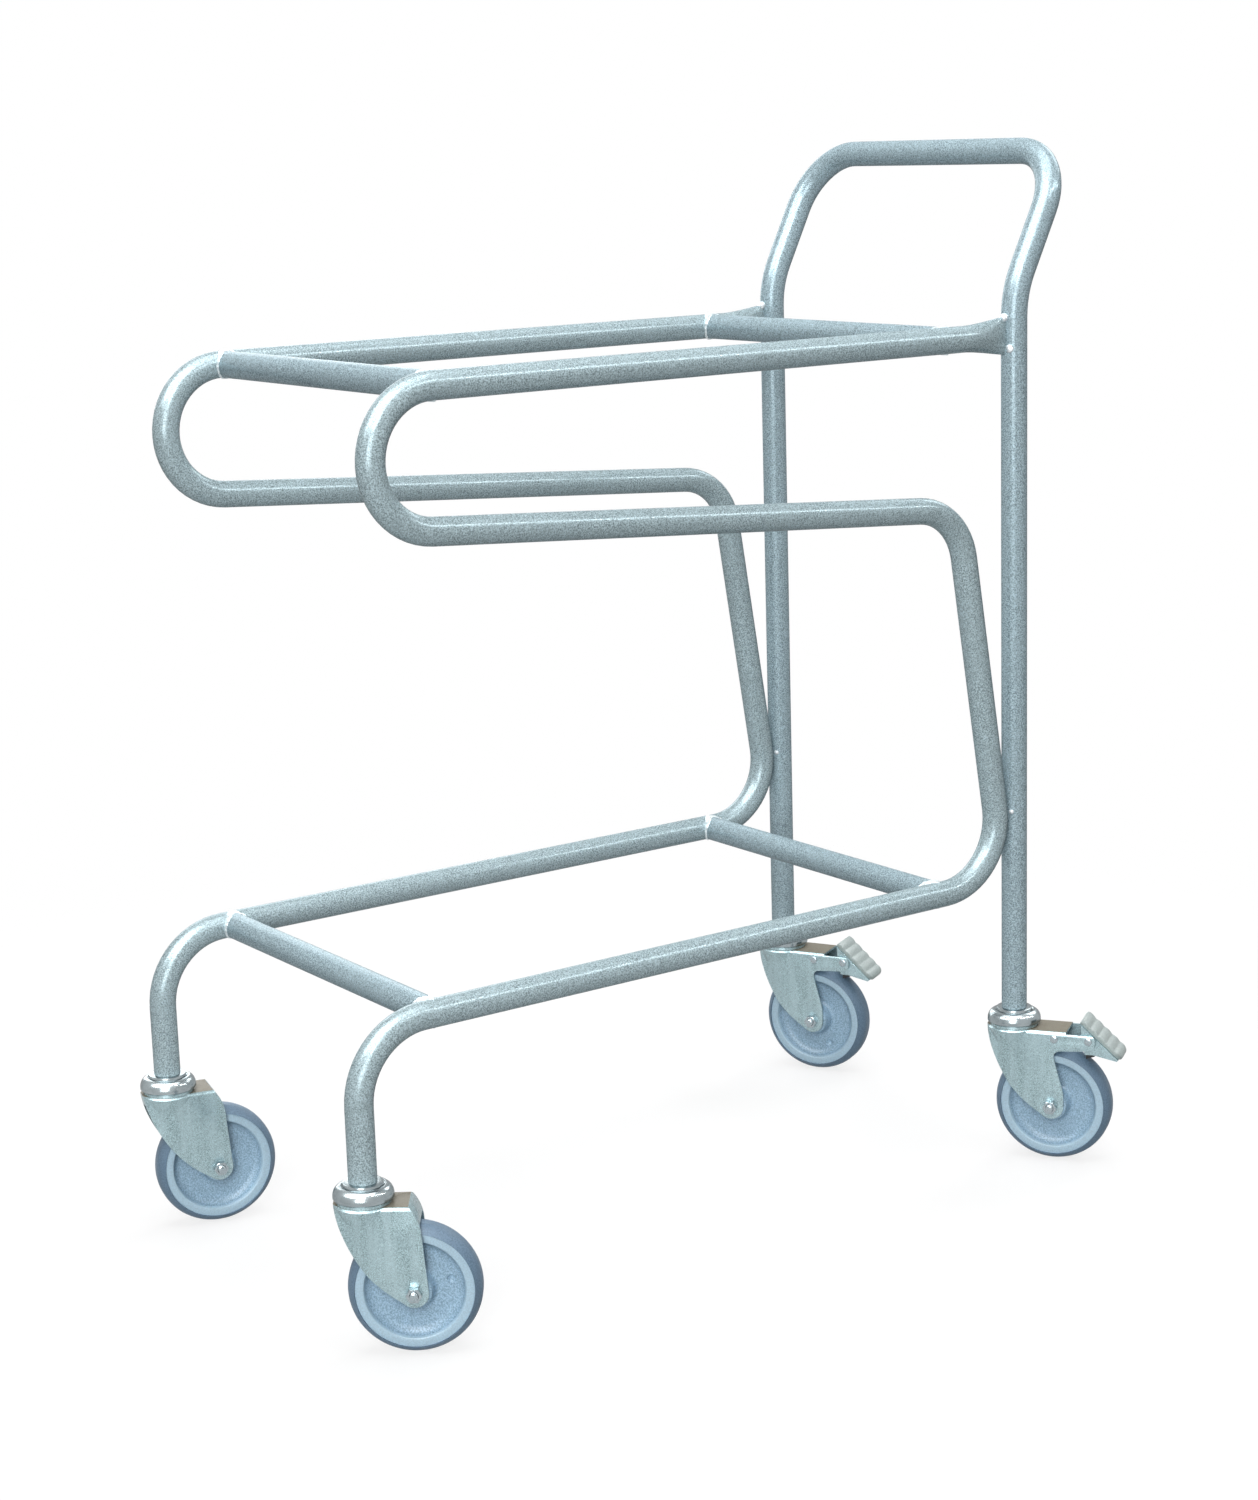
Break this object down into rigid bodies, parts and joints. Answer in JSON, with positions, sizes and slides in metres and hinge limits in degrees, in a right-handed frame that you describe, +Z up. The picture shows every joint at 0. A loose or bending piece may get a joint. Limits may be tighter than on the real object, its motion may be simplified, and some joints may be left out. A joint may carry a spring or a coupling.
{
  "type": "crate trolley",
  "caption": "Crate trolley with bent-tube side frames joined by crossbars, a raised push handle at the rear and swivel casters, the rear ones with foot brakes.",
  "frame": {"origin": "on the floor, midway between the four caster stems", "axes": "+Z up, -Y towards the nose, +Y towards the push handle, +X to the left as it is pushed"},
  "size_m": [0.5327, 0.92, 1.0774],
  "materials": {
    "tube_galvanised": "bright zinc coating with a fine grain",
    "caster_zinc": "zinc plated pressed sheet",
    "swivel_chrome": "bright plated",
    "fastener_zinc": "zinc plated",
    "wheel_plastic": "moulded blue-grey",
    "tread_rubber": "dull grey",
    "pedal_plastic": "moulded off-white",
    "shoe_rubber": "dull black"
  },
  "bodies": {
    "frame": {"push_handle": "tube_galvanised", "side_frame_left": "tube_galvanised", "side_frame_right": "tube_galvanised", "crossbar_top_front": "tube_galvanised", "crossbar_top_rear": "tube_galvanised", "crossbar_lower_front": "tube_galvanised", "crossbar_lower_rear": "tube_galvanised", "caster_stems": "fastener_zinc", "swivel_heads": "swivel_chrome"},
    "swivel_front_left": {"fork_front_left": "caster_zinc", "axle_bolt_front_left": "fastener_zinc", "axle_nut_front_left": "fastener_zinc", "axle_bush_front_left": "fastener_zinc"},
    "wheel_front_left": {"wheel_core_front_left": "wheel_plastic", "tread_front_left": "tread_rubber"},
    "swivel_front_right": {"fork_front_right": "caster_zinc", "axle_bolt_front_right": "fastener_zinc", "axle_nut_front_right": "fastener_zinc", "axle_bush_front_right": "fastener_zinc"},
    "wheel_front_right": {"wheel_core_front_right": "wheel_plastic", "tread_front_right": "tread_rubber"},
    "swivel_rear_left": {"fork_rear_left": "caster_zinc", "axle_bolt_rear_left": "fastener_zinc", "axle_nut_rear_left": "fastener_zinc", "axle_bush_rear_left": "fastener_zinc", "brake_pins_rear_left": "fastener_zinc"},
    "wheel_rear_left": {"wheel_core_rear_left": "wheel_plastic", "tread_rear_left": "tread_rubber"},
    "brake_rear_left": {"brake_lever_rear_left": "caster_zinc", "brake_pedal_rear_left": "pedal_plastic", "brake_shoe_rear_left": "shoe_rubber"},
    "swivel_rear_right": {"fork_rear_right": "caster_zinc", "axle_bolt_rear_right": "fastener_zinc", "axle_nut_rear_right": "fastener_zinc", "axle_bush_rear_right": "fastener_zinc", "brake_pins_rear_right": "fastener_zinc"},
    "wheel_rear_right": {"wheel_core_rear_right": "wheel_plastic", "tread_rear_right": "tread_rubber"},
    "brake_rear_right": {"brake_lever_rear_right": "caster_zinc", "brake_pedal_rear_right": "pedal_plastic", "brake_shoe_rear_right": "shoe_rubber"}
  },
  "joints": [
    {"name": "swivel_front_left", "type": "hinge", "parent": "frame", "child": "swivel_front_left", "pos_m": [0.199, -0.404, 0.15], "axis": [0, 0, 1], "continuous": true},
    {"name": "roll_front_left", "type": "hinge", "parent": "swivel_front_left", "child": "wheel_front_left", "pos_m": [0.22443, -0.36809, 0.0625], "axis": [0.8161, -0.5779, 0], "continuous": true},
    {"name": "swivel_front_right", "type": "hinge", "parent": "frame", "child": "swivel_front_right", "pos_m": [-0.199, -0.404, 0.15], "axis": [0, 0, 1], "continuous": true},
    {"name": "roll_front_right", "type": "hinge", "parent": "swivel_front_right", "child": "wheel_front_right", "pos_m": [-0.18836, -0.36131, 0.0625], "axis": [0.9703, -0.2419, 0], "continuous": true},
    {"name": "swivel_rear_left", "type": "hinge", "parent": "frame", "child": "swivel_rear_left", "pos_m": [0.199, 0.404, 0.15], "axis": [0, 0, 1], "continuous": true},
    {"name": "roll_rear_left", "type": "hinge", "parent": "swivel_rear_left", "child": "wheel_rear_left", "pos_m": [0.23513, 0.42911, 0.0625], "axis": [0.5707, -0.8211, 0], "continuous": true},
    {"name": "brake_rear_left", "type": "hinge", "parent": "swivel_rear_left", "child": "brake_rear_left", "pos_m": [0.26798, 0.45194, 0.138], "axis": [-0.5707, 0.8211, 0], "range_deg": [0, 17]},
    {"name": "swivel_rear_right", "type": "hinge", "parent": "frame", "child": "swivel_rear_right", "pos_m": [-0.199, 0.404, 0.15], "axis": [0, 0, 1], "continuous": true},
    {"name": "roll_rear_right", "type": "hinge", "parent": "swivel_rear_right", "child": "wheel_rear_right", "pos_m": [-0.16033, 0.425, 0.0625], "axis": [0.4772, -0.8788, 0], "continuous": true},
    {"name": "brake_rear_right", "type": "hinge", "parent": "swivel_rear_right", "child": "brake_rear_right", "pos_m": [-0.12518, 0.44408, 0.138], "axis": [-0.4772, 0.8788, 0], "range_deg": [0, 17]}
  ]
}
